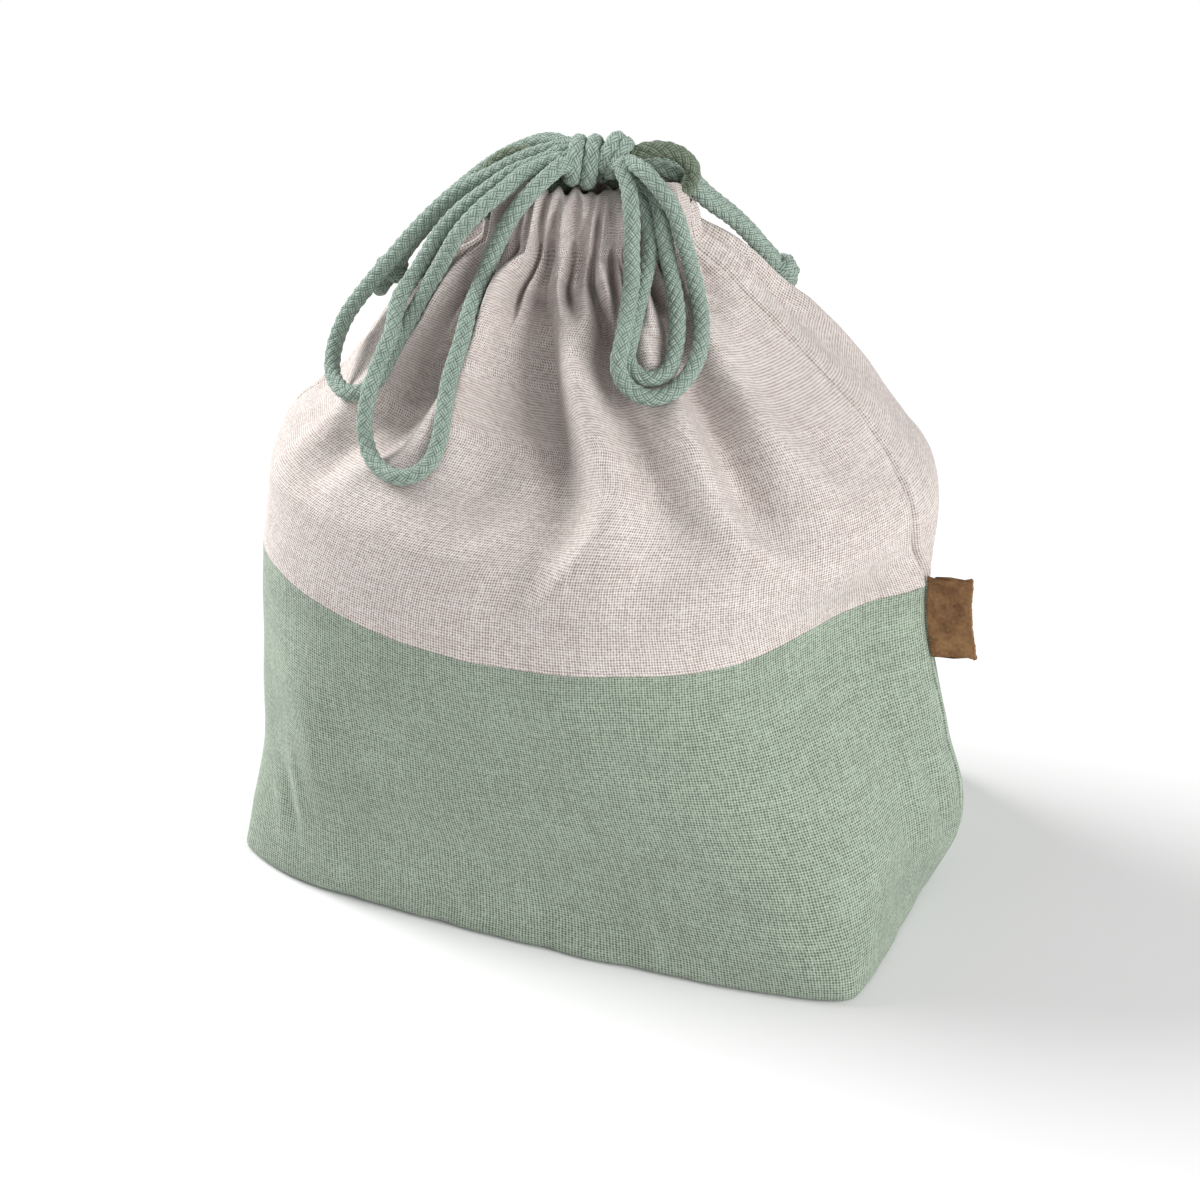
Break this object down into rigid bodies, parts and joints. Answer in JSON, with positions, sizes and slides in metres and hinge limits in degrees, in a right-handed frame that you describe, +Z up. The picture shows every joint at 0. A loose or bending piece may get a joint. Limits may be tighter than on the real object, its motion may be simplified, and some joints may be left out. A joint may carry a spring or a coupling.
{
  "type": "drawstring lunch bag",
  "caption": "Box-bottomed cloth lunch bag with a contrasting upper part, gathered at the neck by drawcords that run in hem channels and are tied in a bow, with a tag in the side seam.",
  "frame": {"origin": "middle of the base on its underside, where the bag stands", "axes": "+Z up, -Y to the front of the bag, +X to the side seam with the tag"},
  "size_m": [0.2251, 0.1475, 0.2323],
  "materials": {
    "green_cloth": "plain-woven sage green linen-look cloth, matt",
    "beige_cloth": "plain-woven greige linen-look cloth, matt",
    "green_cord": "braided cord, matt",
    "cork": "mottled cork sheet, matt"
  },
  "bodies": {
    "bag": {"lower_panel": "green_cloth", "upper_front_panel": "beige_cloth", "upper_back_panel": "beige_cloth", "left_cord_run": "green_cord", "right_cord_run": "green_cord", "left_lead_upper": "green_cord", "left_lead_lower": "green_cord", "right_lead_upper": "green_cord", "right_lead_lower": "green_cord", "bow_knot": "green_cord"},
    "left_bow": {"left_loop_front": "green_cord", "left_loop_rear": "green_cord", "left_tail_front": "green_cord", "left_tail_rear": "green_cord", "left_end_knot": "green_cord"},
    "right_inner_loop": {"right_loop_inner": "green_cord"},
    "right_outer_loop": {"right_loop_outer": "green_cord"},
    "right_tails": {"right_tail_front": "green_cord", "right_tail_rear": "green_cord", "right_end_knot": "green_cord"},
    "tag": {"side_tag": "cork"}
  },
  "joints": [
    {"name": "left_bow_lift", "type": "hinge", "parent": "bag", "child": "left_bow", "pos_m": [-0.01756, -0.00078, 0.224], "axis": [-0.309, 0.9511, 0], "range_deg": [0, 70]},
    {"name": "right_inner_loop_lift", "type": "hinge", "parent": "bag", "child": "right_inner_loop", "pos_m": [-0.00637, -0.00608, 0.223], "axis": [-0.9511, -0.309, 0], "range_deg": [0, 70]},
    {"name": "right_outer_loop_lift", "type": "hinge", "parent": "right_inner_loop", "child": "right_outer_loop", "pos_m": [-0.00637, -0.00608, 0.223], "axis": [-0.9511, -0.309, 0], "range_deg": [0, 40]},
    {"name": "right_tails_lift", "type": "hinge", "parent": "bag", "child": "right_tails", "pos_m": [-0.0015, 0.0135, 0.2245], "axis": [0.4472, -0.8944, 0], "range_deg": [0, 60]},
    {"name": "tag_bend", "type": "hinge", "parent": "bag", "child": "tag", "pos_m": [0.10123, 0.00143, 0.0747], "axis": [-0.2439, 0.1032, 0.9643], "range_deg": [-75, 75], "stiffness_Nm_per_rad": 0.002}
  ]
}
